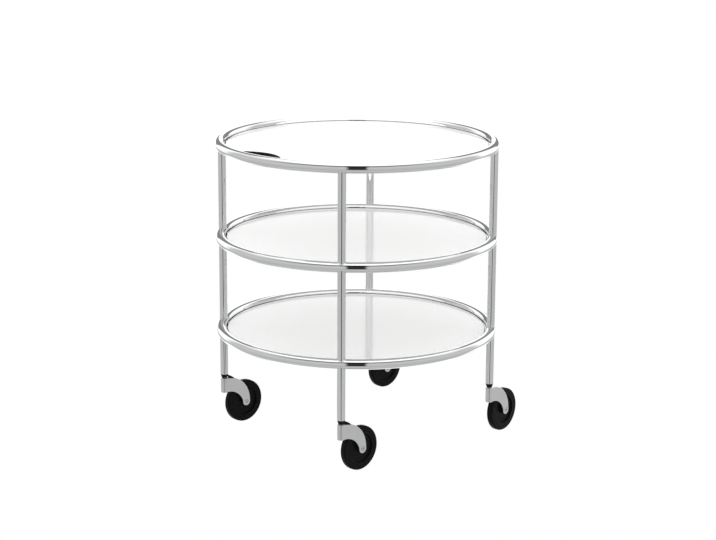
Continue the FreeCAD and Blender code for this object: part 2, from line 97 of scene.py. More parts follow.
def start_material(name, **uniform):
    """A material whose Principled shader has its uniform values on its own sockets."""
    material = bpy.data.materials.new(name)
    material.use_nodes = True
    tree = material.node_tree
    shader = tree.nodes["Principled BSDF"]
    for socket, value in uniform.items():
        shader.inputs[socket.replace("_", " ")].default_value = value
    coordinates = add_node(tree, "TexCoord").outputs["Object"]
    place = add_node(tree, "Mapping", {"Vector": coordinates}).outputs["Vector"]
    return material, tree, shader, place


def blend_colours(tree, factor, low, high):
    """A colour between two, by a mask."""
    mix = add_node(tree, "Mix", {"Factor": factor}, data_type="RGBA")
    mix.inputs[6].default_value = low
    mix.inputs[7].default_value = high
    return mix.outputs[2]


def bump(tree, shader, height, distance):
    """Raise a surface by a height mask, with a real distance in metres."""
    raised = add_node(tree, "Bump", {"Height": height, "Distance": distance})
    tree.links.new(raised.outputs["Normal"], shader.inputs["Normal"])


# Handling marks: broad soft smudges, broken up by finer ones, that dull a polished surface here and there.
marks_group, given = start_group("handling marks", {"Size": 18.0, "Clean": 0.05, "Dull": 0.15}, "Roughness")
broad = add_node(marks_group, "TexNoise", {"Vector": given["Vector"], "Scale": given["Size"], "Detail": 4.0,
                                           "Roughness": 0.6, "Distortion": 0.8}).outputs["Fac"]
fine_size = math_node(marks_group, "MULTIPLY", given["Size"], 9.0)
fine = add_node(marks_group, "TexNoise", {"Vector": given["Vector"], "Scale": fine_size, "Detail": 3.0,
                                          "Roughness": 0.7}).outputs["Fac"]
smudges = add_node(marks_group, "MapRange", {"Value": broad, "From Min": 0.45, "From Max": 0.72},
                   interpolation_type="SMOOTHSTEP").outputs["Result"]
broken = math_node(marks_group, "MULTIPLY", smudges, fine)
end_group(marks_group, "Roughness", add_node(marks_group, "MapRange", {
    "Value": broken, "To Min": given["Clean"], "To Max": given["Dull"]}).outputs["Result"])

# Surface grain: an even fine texture, as of a moulding, a casting or a plate of lacquer.
grain_group, given = start_group("surface grain", {"Size": 900.0, "Softness": 0.5}, "Height")
grain = add_node(grain_group, "TexNoise", {"Vector": given["Vector"], "Scale": given["Size"], "Detail": 2.0,
                                           "Roughness": given["Softness"]}).outputs["Fac"]
end_group(grain_group, "Height", grain)


def add_marks(tree, shader, place, size, clean, dull):
    """Let handling marks drive a material's roughness, from clean to dull."""
    marks = add_node(tree, "Group", {"Vector": place, "Size": size, "Clean": clean, "Dull": dull},
                     node_tree=marks_group)
    tree.links.new(marks.outputs["Roughness"], shader.inputs["Roughness"])


def add_grain(tree, shader, place, size, softness, distance):
    """Raise a material's surface by the surface grain."""
    surface = add_node(tree, "Group", {"Vector": place, "Size": size, "Softness": softness},
                       node_tree=grain_group)
    bump(tree, shader, surface.outputs["Height"], distance)


# Chrome: bright plate with faint polishing haze, a little deeper in tone where the plate is thin.
chrome, tree, shader, place = start_material("polished chrome", Metallic=1.0)
haze = add_node(tree, "TexNoise", {"Vector": place, "Scale": 26.0, "Detail": 3.0}).outputs["Fac"]
tone = blend_colours(tree, haze, (0.66, 0.665, 0.67, 1.0), (0.71, 0.715, 0.72, 1.0))
tree.links.new(tone, shader.inputs["Base Color"])
add_marks(tree, shader, place, 22.0, 0.02, 0.08)
add_grain(tree, shader, place, 60.0, 0.3, 0.00004)


def pick(kind, wanted):
    """Select the vertices, edges or faces that are wanted, and nothing else, in the mesh being edited."""
    bpy.ops.mesh.select_mode(type=kind)
    bpy.ops.mesh.select_all(action="DESELECT")
    mesh = bmesh.from_edit_mesh(bpy.context.edit_object.data)
    for item in {"VERT": mesh.verts, "EDGE": mesh.edges, "FACE": mesh.faces}[kind]:
        item.select_set(wanted(item))
    mesh.select_flush_mode()
    bmesh.update_edit_mesh(bpy.context.edit_object.data)


def end_mesh(name):
    """Leave edit mode with a closed mesh that faces outwards, its object at the origin."""
    bpy.ops.mesh.select_mode(type="VERT")
    bpy.ops.mesh.select_all(action="SELECT")
    bpy.ops.mesh.remove_doubles(threshold=MERGE_DISTANCE)
    bpy.ops.mesh.normals_make_consistent(inside=False)
    bpy.ops.object.mode_set(mode="OBJECT")
    piece = bpy.context.active_object
    piece.name = name
    return settle(piece)


def settle(piece):
    """Put a piece's place in its mesh and shade it smooth up to its real corners."""
    bpy.ops.object.select_all(action="DESELECT")
    piece.select_set(True)
    bpy.context.view_layer.objects.active = piece
    bpy.ops.object.transform_apply(location=True, rotation=True, scale=True)
    bpy.ops.object.shade_smooth_by_angle(angle=SMOOTH_ANGLE)
    return piece


def finish_piece(piece, body, slot, finishes, *nodes):
    """Give a finished piece its materials, the body it rides on and the CAD nodes it stands for.

    Its flat faces keep flat normals, so that their rounded edges alone carry the change of shade.
    """
    flat = piece.modifiers.new("flat faces", "WEIGHTED_NORMAL")
    flat.keep_sharp = True
    bpy.context.view_layer.objects.active = piece
    bpy.ops.object.modifier_apply(modifier=flat.name)
    for finish in finishes:
        piece.data.materials.append(finish)
    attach(piece, body)
    if nodes:
        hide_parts(*nodes)
    return piece


hoops = {}
for tier in TIERS:
    bpy.ops.mesh.primitive_circle_add(vertices=HOOP_SIDES, radius=HOOP_TUBE / 2, enter_editmode=True,
                                      location=(hoop_radius, 0, tier_height[tier]),
                                      rotation=(math.pi / 2, 0, 0))
    bpy.ops.mesh.spin(steps=HOOP_STEPS, angle=2 * math.pi, center=(0, 0, tier_height[tier]), axis=(0, 0, 1))
    hoops[tier] = finish_piece(end_mesh("hoop_" + tier), "frame", "tube_chrome", [chrome], "ring_" + tier)


# Legs. Twelve straight lengths of thinner tube stand between the hoops and under them. Both ends are coped to
# the hoop, so that the tube saddles on it, and the foot end is faced square for the castor's plug.
LEG_TUBE = 0.014
FOOT_EDGE = 0.0004
LEGS = {"front": 270, "right": 0, "back": 90, "left": 180}
foot_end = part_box("leg_foot_right")[0].z


def carve(piece, tool, operation="DIFFERENCE", keep_tool=False):
    """Cut a piece with a tool, or join the tool on, by an exact boolean."""
    boolean = piece.modifiers.new("carve", "BOOLEAN")
    boolean.operation = operation
    boolean.object = tool
    boolean.solver = "EXACT"
    bpy.context.view_layer.objects.active = piece
    bpy.ops.object.modifier_apply(modifier=boolean.name)
    if not keep_tool:
        bpy.data.objects.remove(tool)
    return piece


def copy_placed(piece, name, place):
    """A copy with a mesh of its own, moved by a matrix."""
    copy = piece.copy()
    copy.data = piece.data.copy()
    copy.name = name
    bpy.context.collection.objects.link(copy)
    copy.data.transform(place)
    return copy


def copy_turned(piece, name, bearing, shift=(0, 0, 0)):
    """A copy turned about the trolley's axis and then shifted."""
    turn = Matrix.Rotation(math.radians(bearing), 4, "Z")
    return copy_placed(piece, name, Matrix.Translation(shift) @ turn)


def discard(*pieces):
    for piece in pieces:
        bpy.data.objects.remove(piece)


SPANS = (("upper", "middle", "top"), ("middle", "bottom", "middle"), ("foot", None, "bottom"))
for span, below, above in SPANS:
    start = tier_height[below] if below else foot_end
    length = tier_height[above] - start
    bpy.ops.mesh.primitive_cylinder_add(vertices=64, radius=LEG_TUBE / 2, depth=length, enter_editmode=True,
                                        location=(hoop_radius, 0, start + length / 2))
    if not below:
        pick("EDGE", lambda edge: all(vertex.co.z < 0 for vertex in edge.verts))
        bpy.ops.mesh.bevel(offset=FOOT_EDGE, segments=3, affect="EDGES")
    leg_master = end_mesh("leg_master")
    for coped_to in filter(None, (below, above)):
        carve(leg_master, hoops[coped_to], keep_tool=True)
    settle(leg_master)
    for leg, bearing in LEGS.items():
        tube = copy_turned(leg_master, "tube_%s_%s" % (span, leg), bearing)
        finish_piece(tube, "frame", "tube_chrome", [chrome], "leg_%s_%s" % (span, leg))
    discard(leg_master)


# Brazing. A thin fillet of braze runs round each leg where it meets a hoop, and is plated over with the rest.
BRAZE = 0.0008


def braze_line(side):
    """The fillet round a leg on the bottom hoop: side is 1 above the hoop and -1 below it."""
    bpy.ops.mesh.primitive_circle_add(vertices=72, radius=LEG_TUBE / 2 + BRAZE / 4,
                                      location=(hoop_radius, 0, tier_height["bottom"] + side * HOOP_TUBE))
    line = bpy.context.active_object
    wrap = line.modifiers.new("lie on the hoop", "SHRINKWRAP")
    wrap.target = hoops["bottom"]
    wrap.wrap_method = "PROJECT"
    wrap.use_project_z = True
    wrap.use_negative_direction = side > 0
    wrap.use_positive_direction = side < 0
    bpy.ops.object.modifier_apply(modifier=wrap.name)
    bpy.ops.object.convert(target="CURVE")
    line.data.bevel_depth = BRAZE
    line.data.bevel_resolution = 2
    bpy.ops.object.convert(target="MESH")
    bpy.ops.object.mode_set(mode="EDIT")
    return end_mesh("braze_line")


def join_pieces(pieces, name):
    bpy.ops.object.select_all(action="DESELECT")
    for piece in pieces:
        piece.select_set(True)
    bpy.context.view_layer.objects.active = pieces[0]
    bpy.ops.object.join()
    pieces[0].name = name
    return pieces[0]


braze_above = braze_line(1)
braze_below = braze_line(-1)
for tier in TIERS:
    lift = (0, 0, tier_height[tier] - tier_height["bottom"])
    lines = [braze_below] if tier == "top" else [braze_below, braze_above]
    fillets = [copy_turned(line, "braze_" + tier, bearing, lift)
               for line in lines for bearing in LEGS.values()]
    finish_piece(join_pieces(fillets, "braze_" + tier), "frame", "tube_chrome", [chrome])
discard(braze_above, braze_below)


# Trays. Round boards of compact laminate, 6 mm thick: a black core between gloss white faces, with the edge
# turned, bevelled and left bare. The top one has a crescent cut out of it, so a hand can grip the hoop.
TRAY_RADIUS = 0.2314
TRAY_THICKNESS = 0.006
TRAY_BEVEL = 0.0014
NOTCH_BEARING = math.radians(225)
NOTCH_RADIUS = 0.068
NOTCH_DEPTH = 0.045
NOTCH_CORNER = 0.025
NEAR = 1e-5
FACE_UP = 0.95

laminate, tree, shader, place = start_material("gloss white laminate", IOR=1.49)
cloud = add_node(tree, "TexNoise", {"Vector": place, "Scale": 9.0, "Detail": 5.0}).outputs["Fac"]
white = blend_colours(tree, cloud, (0.90, 0.90, 0.895, 1.0), (0.93, 0.93, 0.925, 1.0))
tree.links.new(white, shader.inputs["Base Color"])
add_marks(tree, shader, place, 14.0, 0.10, 0.22)
add_grain(tree, shader, place, 420.0, 0.4, 0.000006)

# The core: resin-soaked paper sheets pressed together, so a bare edge shows fine level lines.
core, tree, shader, place = start_material("black laminate core", IOR=1.5, Specular_IOR_Level=0.1)
sheets = add_node(tree, "Mapping", {"Vector": place, "Scale": (40.0, 40.0, 5200.0)}).outputs["Vector"]
layers = add_node(tree, "TexNoise", {"Vector": sheets, "Scale": 1.0, "Detail": 3.0}).outputs["Fac"]
black = blend_colours(tree, layers, (0.003, 0.003, 0.003, 1.0), (0.014, 0.013, 0.0125, 1.0))
tree.links.new(black, shader.inputs["Base Color"])
add_marks(tree, shader, place, 60.0, 0.30, 0.55)
bump(tree, shader, layers, 0.00002)


def draw_outline(start, arcs, height):
    """Draw a closed outline of arcs in the XY plane and fill it.

    Each arc goes from the last point to its end about its centre; way is 1 anticlockwise, -1 clockwise.
    """
    bpy.ops.mesh.primitive_plane_add(enter_editmode=True)
    bpy.ops.mesh.merge(type="CENTER")
    bpy.ops.transform.translate(value=(start.x, start.y, height))
    point = start
    for centre, end, way, steps in arcs:
        first = math.atan2(point.y - centre.y, point.x - centre.x)
        last = math.atan2(end.y - centre.y, end.x - centre.x)
        swing = (way * (last - first)) % (2 * math.pi)
        bpy.ops.mesh.spin(steps=steps, angle=-way * swing, center=(centre.x, centre.y, height),
                          axis=(0, 0, 1))
        point = end
    bpy.ops.mesh.select_all(action="SELECT")
    bpy.ops.mesh.remove_doubles(threshold=MERGE_DISTANCE)
    bpy.ops.mesh.edge_face_add()


def polar(radius, bearing):
    return Vector((radius * math.cos(bearing), radius * math.sin(bearing)))


def notched_outline(height):
    """The top tray's outline: the board's edge, a round corner, the crescent and the other corner."""
    notch_centre = TRAY_RADIUS - NOTCH_DEPTH + NOTCH_RADIUS
    corner_centre = TRAY_RADIUS - NOTCH_CORNER
    reach = NOTCH_RADIUS + NOTCH_CORNER
    spread = math.acos((notch_centre ** 2 + corner_centre ** 2 - reach ** 2)
                       / (2 * notch_centre * corner_centre))
    middle = polar(notch_centre, NOTCH_BEARING)
    near, far = (polar(corner_centre, NOTCH_BEARING + way * spread) for way in (-1, 1))
    edge_near, edge_far = (polar(TRAY_RADIUS, NOTCH_BEARING + way * spread) for way in (-1, 1))
    notch_near, notch_far = (middle + (corner - middle) * NOTCH_RADIUS / reach for corner in (near, far))
    draw_outline(edge_far, [(Vector((0, 0)), edge_near, 1, 220), (near, notch_near, 1, 16),
                            (middle, notch_far, -1, 48), (far, edge_far, 1, 16)], height)


for tier in TIERS:
    top = tier_height[tier]
    if tier == "top":
        notched_outline(top)
    else:
        bpy.ops.mesh.primitive_circle_add(vertices=240, radius=TRAY_RADIUS, fill_type="NGON",
                                          enter_editmode=True, location=(0, 0, top))
    bpy.ops.mesh.select_all(action="SELECT")
    bpy.ops.mesh.extrude_region_move(TRANSFORM_OT_translate={"value": (0, 0, -TRAY_THICKNESS)})
    board_top = 0 if tier != "top" else top
    pick("EDGE", lambda edge: all(abs(vertex.co.z - board_top) < NEAR for vertex in edge.verts))
    bpy.ops.mesh.bevel(offset=TRAY_BEVEL, segments=2, affect="EDGES")
    board = end_mesh("board_" + tier)
    finish_piece(board, "frame", "tray_board", [laminate, core], "tray_" + tier)
    for face in board.data.polygons:
        face.material_index = 0 if abs(face.normal.z) > FACE_UP else 1


# Lugs. Four flat tabs of 3 mm sheet under each tray, brazed into the corner of hoop and leg, with the inner
# corners rounded. The tray rests on them and is screwed down from below.
LUG_SHEET = 0.003
LUG_WIDTH = 0.022
LUG_CORNER = 0.006
LUG_EDGE = 0.0004
LUG_INNER_SETBACK = 0.0345
LUG_OUTER_SETBACK = 0.0045
lug_inner = hoop_radius - LUG_INNER_SETBACK
lug_outer = hoop_radius - LUG_OUTER_SETBACK


def soften(piece, width, segments=3, limit=30):
    """Round every edge of a piece that is sharper than the limit in degrees."""
    rounding = piece.modifiers.new("soft edges", "BEVEL")
    rounding.width = width
    rounding.segments = segments
    rounding.limit_method = "ANGLE"
    rounding.angle_limit = math.radians(limit)
    bpy.context.view_layer.objects.active = piece
    bpy.ops.object.modifier_apply(modifier=rounding.name)
    return settle(piece)


bpy.ops.mesh.primitive_cube_add(size=1, enter_editmode=True)
bpy.ops.transform.resize(value=(lug_outer - lug_inner, LUG_WIDTH, LUG_SHEET))
bpy.ops.transform.translate(value=((lug_outer + lug_inner) / 2, 0, -TRAY_THICKNESS - LUG_SHEET / 2))
pick("EDGE", lambda edge: all(vertex.co.x < lug_inner + NEAR for vertex in edge.verts)
     and abs(edge.verts[0].co.z - edge.verts[1].co.z) > LUG_SHEET / 2)
bpy.ops.mesh.bevel(offset=LUG_CORNER, segments=8, affect="EDGES")
lug_master = soften(end_mesh("lug_master"), LUG_EDGE, segments=2)
for tier in TIERS:
    tabs = [copy_turned(lug_master, "tab_" + leg, bearing, (0, 0, tier_height[tier]))
            for leg, bearing in LEGS.items()]
    finish_piece(join_pieces(tabs, "tabs_" + tier), "frame", "tube_chrome", [chrome], "lugs_" + tier)
discard(lug_master)


# Tray screws. Pan-head screws of zinc-plated steel with a cross recess, driven up through the lugs.
SCREW_HEAD = 0.008
SCREW_SHANK = 0.004
SCREW_BITE = 0.0045
HEAD_HEIGHT = 0.002
SCREW_CROSS = (0.0044, 0.0009, 0.0011)
screw_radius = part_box("tray_screws_bottom")[1].x - SCREW_HEAD / 2

zinc, tree, shader, place = start_material("bright zinc plate", Metallic=1.0)
turning = add_node(tree, "Mapping", {"Vector": place, "Scale": (900.0, 900.0, 3000.0)}).outputs["Vector"]
lines = add_node(tree, "TexNoise", {"Vector": turning, "Scale": 1.0, "Detail": 3.0}).outputs["Fac"]
plate = blend_colours(tree, lines, (0.50, 0.505, 0.52, 1.0), (0.64, 0.64, 0.645, 1.0))
tree.links.new(plate, shader.inputs["Base Color"])
add_marks(tree, shader, place, 120.0, 0.20, 0.42)
bump(tree, shader, lines, 0.00001)


def turn_profile(name, profile, steps=48, location=(0, 0, 0), rotation=(0, 0, 0)):
    """Turn a profile of (radius, height) points about the Z axis, as on a lathe, and then place it."""
    bpy.ops.mesh.primitive_plane_add(enter_editmode=True)
    bpy.ops.mesh.merge(type="CENTER")
    bpy.ops.transform.translate(value=(profile[0][0], 0, profile[0][1]))
    for (radius, height), (next_radius, next_height) in zip(profile, profile[1:]):
        move = (next_radius - radius, 0, next_height - height)
        bpy.ops.mesh.extrude_region_move(TRANSFORM_OT_translate={"value": move})
    bpy.ops.mesh.select_all(action="SELECT")
    bpy.ops.mesh.spin(steps=steps, angle=2 * math.pi, center=(0, 0, 0), axis=(0, 0, 1))
    piece = end_mesh(name)
    piece.location = location
    piece.rotation_euler = rotation
    return settle(piece)


def cross_recess(piece, centre, across, along, depth, axis):
    """Sink the driver's cross into a screw's head, across the given axis."""
    for turn in (0, math.pi / 2):
        bpy.ops.mesh.primitive_cube_add(size=1, location=centre, rotation=(0, 0, turn))
        tool = bpy.context.active_object
        tool.scale = (across, along, 2 * depth)
        if axis == "Y":
            tool.rotation_euler = (math.pi / 2, turn, 0)
        carve(piece, tool)
    return piece


seat = -TRAY_THICKNESS - LUG_SHEET
screw_master = turn_profile("screw_master", [
    (0, seat - HEAD_HEIGHT), (SCREW_HEAD * 0.28, seat - HEAD_HEIGHT * 0.96),
    (SCREW_HEAD * 0.42, seat - HEAD_HEIGHT * 0.74), (SCREW_HEAD * 0.5, seat - HEAD_HEIGHT * 0.3),
    (SCREW_HEAD * 0.5, seat), (SCREW_SHANK / 2, seat), (SCREW_SHANK / 2, seat + LUG_SHEET + SCREW_BITE),
    (0, seat + LUG_SHEET + SCREW_BITE)], 32)
cross_recess(screw_master, (0, 0, seat - HEAD_HEIGHT), *SCREW_CROSS, "Z")
screw_master.data.transform(Matrix.Translation((screw_radius, 0, 0)))
settle(screw_master)
for tier in TIERS:
    screws = [copy_turned(screw_master, "pan_screw_" + leg, bearing, (0, 0, tier_height[tier]))
              for leg, bearing in LEGS.items()]
    finish_piece(join_pieces(screws, "pan_screws_" + tier), "frame", "steel", [zinc], "tray_screws_" + tier)
discard(screw_master)


# Castors. Each one is modelled in its own frame, with the swivel axis on Z, the floor at 0 and the wheel
# trailing towards +X, and its copies are stood under the legs at their resting bearings.
swivels = {leg: Vector(joints["swivel_" + leg]["pos_m"]).xy for leg in LEGS}
axles = {leg: Vector(joints["roll_" + leg]["axis"]) for leg in LEGS}
BRAKED = [leg for leg in LEGS if "brake_press_" + leg in joints]
WHEEL_WIDTH = 0.012
WHEEL_FACE = -0.002


def castor_frame(leg):
    """The place of a castor's own frame: under its leg, turned so that its Y axis lies along the axle."""
    bearing = math.atan2(-axles[leg].x, axles[leg].y)
    return Matrix.Translation(swivels[leg].to_3d()) @ Matrix.Rotation(bearing, 4, "Z")


def in_castor_frame(joint):
    """A joint of the front castor, as a point in the castor's own frame."""
    return castor_frame("front").inverted() @ Vector(joints[joint + "_front"]["pos_m"])


def stand_castor_piece(master, name, node, body, slot, finishes, legs=LEGS):
    """Stand a copy of a castor piece, with a mesh of its own, under each leg, and discard the master."""
    for leg in legs:
        copy = copy_placed(master, "%s_%s" % (name, leg), castor_frame(leg))
        finish_piece(copy, body if body == "frame" else "%s_%s" % (body, leg), slot, finishes,
                     "castor_%s_%s" % (leg, node))
    discard(master)


wheel_centre = in_castor_frame("roll")
trail = wheel_centre.x
axle_height = wheel_centre.z


# Plugs. A black nylon plug closes each leg's foot: a plain shank is driven into the tube, and a tapered neck
# fills the step from the tube to the castor's stem.
PLUG_NECK = 0.0095
PLUG_SHANK = 0.0109
PLUG_BORE = 0.0061
PLUG_EDGE = 0.0003
plug_foot, plug_top = (corner.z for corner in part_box("castor_front_plug"))

black_nylon, tree, shader, place = start_material("black nylon", IOR=1.5, Specular_IOR_Level=0.12)
specks = add_node(tree, "TexNoise", {"Vector": place, "Scale": 260.0, "Detail": 4.0}).outputs["Fac"]
dark = blend_colours(tree, specks, (0.0025, 0.0025, 0.0025, 1.0), (0.0060, 0.0060, 0.0060, 1.0))
tree.links.new(dark, shader.inputs["Base Color"])
add_marks(tree, shader, place, 90.0, 0.38, 0.62)
add_grain(tree, shader, place, 2600.0, 0.6, 0.00004)

plug = turn_profile("plug_master", [
    (PLUG_BORE / 2, plug_foot), (PLUG_NECK / 2, plug_foot), (LEG_TUBE / 2, foot_end),
    (PLUG_SHANK / 2, foot_end), (PLUG_SHANK / 2, plug_top), (PLUG_BORE / 2, plug_top),
    (PLUG_BORE / 2, plug_foot)])
stand_castor_piece(soften(plug, PLUG_EDGE, 2), "nylon_plug", "plug", "frame", "black_plastic", [black_nylon])


# Stems and washers. A steel pin is pressed up into the plug, and its riveted head holds the castor's barrel.
# A thin washer keeps the barrel off the plug.
STEM = 0.006
STEM_HEAD = 0.009
STEM_HEAD_HEIGHT = 0.0018
STEM_HEAD_ROUND = 0.0009
STEM_CROWN = 0.0002
STEM_CHAMFER = 0.0006
WASHER = 0.009
WASHER_EDGE = 0.00015
stem_low, stem_top = (corner.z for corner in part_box("castor_front_stem"))
washer_low, washer_top = (corner.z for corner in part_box("castor_front_washer"))

stem = turn_profile("stem_master", [
    (0, stem_low), (STEM_HEAD * 0.34, stem_low + STEM_CROWN), (STEM_HEAD / 2, stem_low + STEM_HEAD_ROUND),
    (STEM_HEAD / 2, stem_low + STEM_HEAD_HEIGHT), (STEM / 2, stem_low + STEM_HEAD_HEIGHT),
    (STEM / 2, stem_top - STEM_CHAMFER), (STEM / 2 - STEM_CHAMFER, stem_top), (0, stem_top)])
stand_castor_piece(stem, "swivel_stem", "stem", "frame", "steel", [zinc])
washer = turn_profile("washer_master", [
    (PLUG_BORE / 2, washer_low), (WASHER / 2, washer_low), (WASHER / 2, washer_top),
    (PLUG_BORE / 2, washer_top), (PLUG_BORE / 2, washer_low)])
stand_castor_piece(soften(washer, WASHER_EDGE, 2), "flat_washer", "washer", "frame", "steel", [zinc])


# Castor bodies. One die casting of aluminium alloy, shot-blasted and lacquered: an upright barrel on the
# stem, and a flat crescent arm that sweeps down beside the wheel to a round tip at the axle.
BARREL = 0.013
BARREL_EDGE = 0.0006
STEM_HOLE = 0.0061
RIVET_HOLE = 0.0096
RIVET_DEPTH = 0.0024
ARM_FACE = -0.0062
ARM_THICKNESS = 0.0035
ARM_EDGE = 0.0005
ARM_OUTER = 0.0495
ARM_INNER = 0.036
ARM_TIP = 0.008
ARM_TIP_PROUD = 0.0003
ARM_TOP_DROP = 0.0003
ARM_ROOT_LIFT = 0.0005
BARREL_PLAY = 0.0003
barrel_foot = stem_low - BARREL_PLAY
barrel_top = washer_low - BARREL_PLAY

cast_alloy, tree, shader, place = start_material("satin cast alloy", Metallic=1.0, Coat_Roughness=0.25)
mottle = add_node(tree, "TexNoise", {"Vector": place, "Scale": 70.0, "Detail": 5.0}).outputs["Fac"]
silver = blend_colours(tree, mottle, (0.59, 0.595, 0.60, 1.0), (0.66, 0.665, 0.67, 1.0))
tree.links.new(silver, shader.inputs["Base Color"])
add_marks(tree, shader, place, 55.0, 0.30, 0.42)
add_grain(tree, shader, place, 1700.0, 0.7, 0.00005)


def crossing(centre, radius, other, other_radius, side):
    """Where two circles cross, on the given side of the line from the first centre to the other."""
    line = other - centre
    along = (radius ** 2 - other_radius ** 2 + line.length_squared) / (2 * line.length)
    off = math.sqrt(radius ** 2 - along ** 2)
    line.normalize()
    return centre + along * line + side * off * Vector((-line.y, line.x))


tip = Vector((trail, axle_height))
outer = Vector((trail + ARM_TIP - ARM_TIP_PROUD - ARM_OUTER, barrel_top - ARM_TOP_DROP - ARM_OUTER))
inner = Vector((outer.x, barrel_foot + ARM_ROOT_LIFT - ARM_INNER))
outer_root = Vector((0, outer.y + math.sqrt(ARM_OUTER ** 2 - outer.x ** 2)))
inner_root = Vector((0, inner.y + math.sqrt(ARM_INNER ** 2 - inner.x ** 2)))
outer_tip = crossing(outer, ARM_OUTER, tip, ARM_TIP, 1)
inner_tip = crossing(inner, ARM_INNER, tip, ARM_TIP, 1)
arm_arcs = [(outer, outer_tip, -1, 40), (tip, inner_tip, -1, 28), (inner, inner_root, 1, 32)]
draw_outline(outer_root, arm_arcs, 0)
bpy.ops.mesh.select_all(action="SELECT")
bpy.ops.mesh.extrude_region_move(TRANSFORM_OT_translate={"value": (0, 0, -ARM_THICKNESS)})
arm = end_mesh("arm")
arm.rotation_euler.x = math.pi / 2
arm.location.y = ARM_FACE
settle(arm)
soften(arm, ARM_EDGE, 3, limit=50)

barrel = turn_profile("castor_body_master", [
    (STEM_HOLE / 2, barrel_foot + RIVET_DEPTH), (RIVET_HOLE / 2, barrel_foot + RIVET_DEPTH),
    (RIVET_HOLE / 2, barrel_foot), (BARREL / 2, barrel_foot), (BARREL / 2, barrel_top),
    (STEM_HOLE / 2, barrel_top), (STEM_HOLE / 2, barrel_foot + RIVET_DEPTH)], 56)
soften(barrel, BARREL_EDGE, 3)
carve(barrel, arm, "UNION")

# The screw's hole goes through the arm's tip, with a ring-shaped recess round the head in its outer face.
AXLE_SCREW = 0.0034
AXLE_SCREW_HEAD = 0.0068
RECESS_RIM = 0.0006
RECESS_DEPTH = 0.0012
SCREW_PLAY = 0.00005
sink = (AXLE_SCREW_HEAD - AXLE_SCREW) / 2
recess = AXLE_SCREW_HEAD / 2 + RECESS_RIM
screw_hole = AXLE_SCREW / 2 + SCREW_PLAY
lying = (-math.pi / 2, 0, 0)
tool = turn_profile("sink_tool", [
    (0, -sink), (recess, -sink), (recess, RECESS_DEPTH), (screw_hole, sink),
    (screw_hole, 2 * ARM_THICKNESS), (0, 2 * ARM_THICKNESS)], 40, (trail, ARM_FACE, axle_height), lying)
carve(barrel, tool)
stand_castor_piece(settle(barrel), "castor_casting", "body", "castor", "castor_alloy", [cast_alloy])


# Axle screws and axles. A countersunk screw goes through the arm's tip into the tapped end of the axle, a
# turned steel pin with a domed head beyond the wheel.
AXLE = 0.006
AXLE_HEAD = 0.011
AXLE_HEAD_HEIGHT = 0.0018
SCREW_DEPTH = 0.008
SCREW_CROWN = 0.00015
SCREW_RIM = 0.0001
DRILL_POINT = 0.0008
TOOL_OVERLAP = 0.001
AXLE_EDGE = 0.0004
AXLE_CROSS = (0.0034, 0.0007, 0.0008)
WHEEL_GAP = 0.0007
FACE_PLAY = 0.0003
arm_back = ARM_FACE + ARM_THICKNESS

screw = turn_profile("axle_screw_master", [
    (0, -SCREW_CROWN), (AXLE_SCREW_HEAD * 0.3, -SCREW_RIM), (AXLE_SCREW_HEAD * 0.47, 0),
    (AXLE_SCREW_HEAD / 2, SCREW_RIM), (AXLE_SCREW / 2, sink), (AXLE_SCREW / 2, ARM_THICKNESS + SCREW_DEPTH),
    (0, ARM_THICKNESS + SCREW_DEPTH)], 40, (trail, ARM_FACE, axle_height), lying)
cross_recess(screw, (trail, ARM_FACE, axle_height), *AXLE_CROSS, "Y")
stand_castor_piece(settle(screw), "sunk_screw", "axle_screw", "castor", "steel", [zinc])

head_face = WHEEL_GAP + WHEEL_WIDTH + FACE_PLAY
axle = turn_profile("axle_master", [
    (0, 0), (AXLE / 2 - AXLE_EDGE, 0), (AXLE / 2, AXLE_EDGE), (AXLE / 2, head_face),
    (AXLE_HEAD / 2, head_face), (AXLE_HEAD / 2, head_face + AXLE_HEAD_HEIGHT * 0.4),
    (AXLE_HEAD * 0.42, head_face + AXLE_HEAD_HEIGHT * 0.75),
    (AXLE_HEAD * 0.26, head_face + AXLE_HEAD_HEIGHT * 0.95), (0, head_face + AXLE_HEAD_HEIGHT)],
    40, (trail, arm_back, axle_height), lying)
bore = turn_profile("bore_tool", [
    (0, -TOOL_OVERLAP), (screw_hole, -TOOL_OVERLAP), (screw_hole, SCREW_DEPTH),
    (0, SCREW_DEPTH + DRILL_POINT)], 40, (trail, arm_back, axle_height), lying)
carve(axle, bore)
stand_castor_piece(settle(axle), "axle_pin", "axle", "castor", "steel", [zinc])


# Hubs. The wheel's core is moulded in dark glass-filled plastic: a web between two dished faces, with a boss
# on the axle and a rim under the tread.
TYRE_DEPTH = 0.009
HUB_DISH = 0.003
HUB_RIM = 0.004
HUB_BOSS = 0.015
HUB_BORE = 0.0061
HUB_DRAFT = 0.0005
HUB_EDGE = 0.0005
hub_radius = axle_height - TYRE_DEPTH
far_face = WHEEL_FACE + WHEEL_WIDTH

hub_plastic, tree, shader, place = start_material("dark moulded plastic", IOR=1.5, Specular_IOR_Level=0.08)
flow = add_node(tree, "TexNoise", {"Vector": place, "Scale": 45.0, "Detail": 5.0,
                                   "Distortion": 1.2}).outputs["Fac"]
charcoal = blend_colours(tree, flow, (0.0030, 0.0030, 0.0030, 1.0), (0.0060, 0.0060, 0.0062, 1.0))
tree.links.new(charcoal, shader.inputs["Base Color"])
add_marks(tree, shader, place, 70.0, 0.42, 0.60)
add_grain(tree, shader, place, 2000.0, 0.6, 0.00004)

